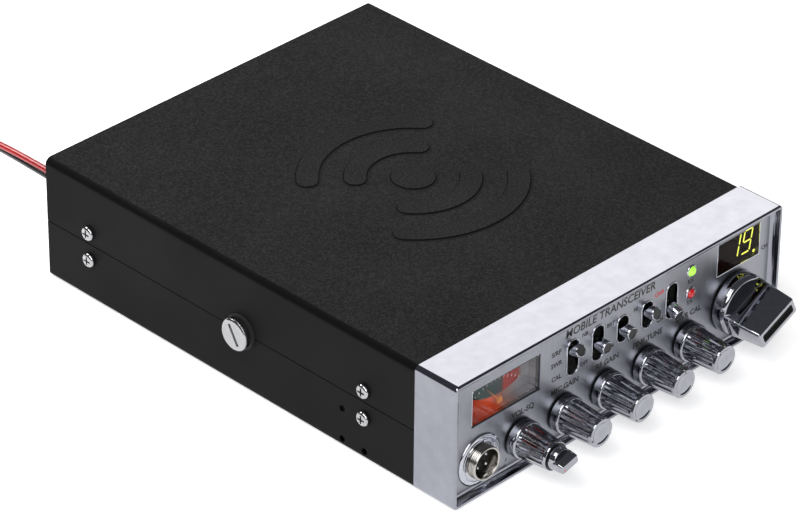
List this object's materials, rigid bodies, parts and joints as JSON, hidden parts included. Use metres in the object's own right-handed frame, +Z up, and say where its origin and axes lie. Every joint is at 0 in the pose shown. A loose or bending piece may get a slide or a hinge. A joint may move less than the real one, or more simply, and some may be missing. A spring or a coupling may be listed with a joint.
{
  "type": "mobile transceiver",
  "caption": "Flat black two-way radio set with a chrome bezel, silver control panel, knobs, toggle switches, meter, channel display and a power lead.",
  "frame": {"origin": "centre of the footprint on the surface it stands on, measured without the power lead, its strain relief and its plug", "axes": "+Z up, the front panel faces -Y, +X is the right-hand side seen from the front"},
  "size_m": [0.192, 0.4455, 0.0555],
  "materials": {
    "top_sheet": "satin textured black",
    "side_sheet": "satin black",
    "plated_steel": "zinc plated",
    "bezel_chrome": "polished",
    "bright_chrome": "polished",
    "panel_satin": "fine satin silver",
    "clear_lens": "clear moulded",
    "dial_print": "printed and back lit",
    "white_plastic": "matte",
    "needle_paint": "matte orange",
    "smoked_window": "smoked gloss",
    "black_plastic": "moulded",
    "green_lamp": "lit translucent",
    "red_lamp": "translucent",
    "nickel": "nickel plated",
    "knob_chrome": "polished",
    "shaft_steel": "turned",
    "screw_steel": "bright zinc",
    "black_rubber": "matte",
    "brass_contact": "plain",
    "board": "laminate",
    "can_tin": "tinned",
    "capacitor_sleeve": "heat shrunk",
    "transformer_core": "lacquered laminations",
    "speaker_steel": "pressed",
    "speaker_paper": "felted",
    "lead_jacket": "satin vinyl"
  },
  "bodies": {
    "casing": {"antenna_contact": "brass_contact", "antenna_insulator": "white_plastic", "antenna_shell": "nickel", "audio_transformer": "transformer_core", "bottom_cover": "side_sheet", "capacitors": "capacitor_sleeve", "case_screws": "screw_steel", "channel_switch": "plated_steel", "chassis_frame": "plated_steel", "cord_strain_relief": "black_rubber", "display_module": "black_plastic", "display_window": "smoked_window", "front_bezel": "bezel_chrome", "front_panel": "panel_satin", "lamp_holders": "bright_chrome", "main_board": "board", "meter_dial": "dial_print", "meter_housing": "white_plastic", "meter_lens": "clear_lens", "mic_socket_insert": "black_plastic", "mic_socket_pins": "nickel", "mic_socket_shell": "nickel", "potentiometers": "plated_steel", "power_lead": "lead_jacket", "power_lead_coil": "lead_jacket", "power_plug": "black_plastic", "rear_panel": "side_sheet", "receive_lamp": "green_lamp", "speaker_cone": "speaker_paper", "speaker_frame": "speaker_steel", "speaker_jacks": "black_plastic", "switch_slot_rims": "bright_chrome", "thumb_washers": "black_rubber", "toggle_bodies": "black_plastic", "top_cover": "top_sheet", "transmit_lamp": "red_lamp", "tuning_cans": "can_tin"},
    "volume_control": {"volume_knob": "knob_chrome", "volume_shaft": "shaft_steel"},
    "squelch_control": {"squelch_knob": "knob_chrome", "squelch_shaft": "shaft_steel"},
    "mic_gain_control": {"mic_gain_knob": "knob_chrome", "mic_gain_shaft": "shaft_steel"},
    "rf_gain_control": {"rf_gain_knob": "knob_chrome", "rf_gain_shaft": "shaft_steel"},
    "fine_tune_control": {"fine_tune_knob": "knob_chrome", "fine_tune_shaft": "shaft_steel"},
    "swr_cal_control": {"swr_cal_knob": "knob_chrome", "swr_cal_shaft": "shaft_steel"},
    "channel_control": {"channel_knob": "knob_chrome", "channel_shaft": "shaft_steel"},
    "meter_mode_toggle": {"meter_mode_lever": "bright_chrome"},
    "noise_blanker_toggle": {"noise_blanker_lever": "bright_chrome"},
    "display_dimmer_toggle": {"display_dimmer_lever": "bright_chrome"},
    "tone_toggle": {"tone_lever": "bright_chrome"},
    "priority_channel_toggle": {"priority_channel_lever": "bright_chrome"},
    "meter_movement": {"meter_needle": "needle_paint"},
    "left_thumb_screw": {"thumb_screw_left": "screw_steel"},
    "right_thumb_screw": {"thumb_screw_right": "screw_steel"}
  },
  "joints": [
    {"name": "volume_turn", "type": "hinge", "parent": "casing", "child": "volume_control", "pos_m": [-0.0534, -0.10605, 0.0143], "axis": [0, 1, 0], "range_deg": [-150, 120]},
    {"name": "squelch_turn", "type": "hinge", "parent": "casing", "child": "squelch_control", "pos_m": [-0.0534, -0.10605, 0.0143], "axis": [0, 1, 0], "range_deg": [-52, 218]},
    {"name": "mic_gain_turn", "type": "hinge", "parent": "casing", "child": "mic_gain_control", "pos_m": [-0.02985, -0.10605, 0.0143], "axis": [0, 1, 0], "range_deg": [-28, 242]},
    {"name": "rf_gain_turn", "type": "hinge", "parent": "casing", "child": "rf_gain_control", "pos_m": [-0.0063, -0.10605, 0.0143], "axis": [0, 1, 0], "range_deg": [0, 270]},
    {"name": "fine_tune_turn", "type": "hinge", "parent": "casing", "child": "fine_tune_control", "pos_m": [0.01725, -0.10605, 0.0143], "axis": [0, 1, 0], "range_deg": [-135, 135]},
    {"name": "swr_cal_turn", "type": "hinge", "parent": "casing", "child": "swr_cal_control", "pos_m": [0.0408, -0.10605, 0.0143], "axis": [0, 1, 0], "range_deg": [-97, 173]},
    {"name": "channel_turn", "type": "hinge", "parent": "casing", "child": "channel_control", "pos_m": [0.0681, -0.10605, 0.0202], "axis": [0, 1, 0], "continuous": true},
    {"name": "meter_mode_flip", "type": "hinge", "parent": "casing", "child": "meter_mode_toggle", "pos_m": [-0.025, -0.09705, 0.0369], "axis": [-1, 0, 0], "range_deg": [-40, 0]},
    {"name": "noise_blanker_flip", "type": "hinge", "parent": "casing", "child": "noise_blanker_toggle", "pos_m": [-0.011, -0.09705, 0.0369], "axis": [-1, 0, 0], "range_deg": [-20, 20]},
    {"name": "display_dimmer_flip", "type": "hinge", "parent": "casing", "child": "display_dimmer_toggle", "pos_m": [0.003, -0.09705, 0.0369], "axis": [-1, 0, 0], "range_deg": [-10, 10]},
    {"name": "tone_flip", "type": "hinge", "parent": "casing", "child": "tone_toggle", "pos_m": [0.017, -0.09705, 0.0369], "axis": [-1, 0, 0], "range_deg": [-20, 0]},
    {"name": "priority_channel_flip", "type": "hinge", "parent": "casing", "child": "priority_channel_toggle", "pos_m": [0.031, -0.09705, 0.0369], "axis": [-1, 0, 0], "range_deg": [0, 40]},
    {"name": "meter_swing", "type": "hinge", "parent": "casing", "child": "meter_movement", "pos_m": [-0.0614, -0.10005, 0.0331], "axis": [0, 1, 0], "range_deg": [0, 84]},
    {"name": "left_thumb_turn", "type": "hinge", "parent": "casing", "child": "left_thumb_screw", "pos_m": [-0.0915, 0.00635, 0.0263], "axis": [-1, 0, 0], "continuous": true},
    {"name": "right_thumb_turn", "type": "hinge", "parent": "casing", "child": "right_thumb_screw", "pos_m": [0.0915, 0.00635, 0.0263], "axis": [1, 0, 0], "continuous": true}
  ]
}
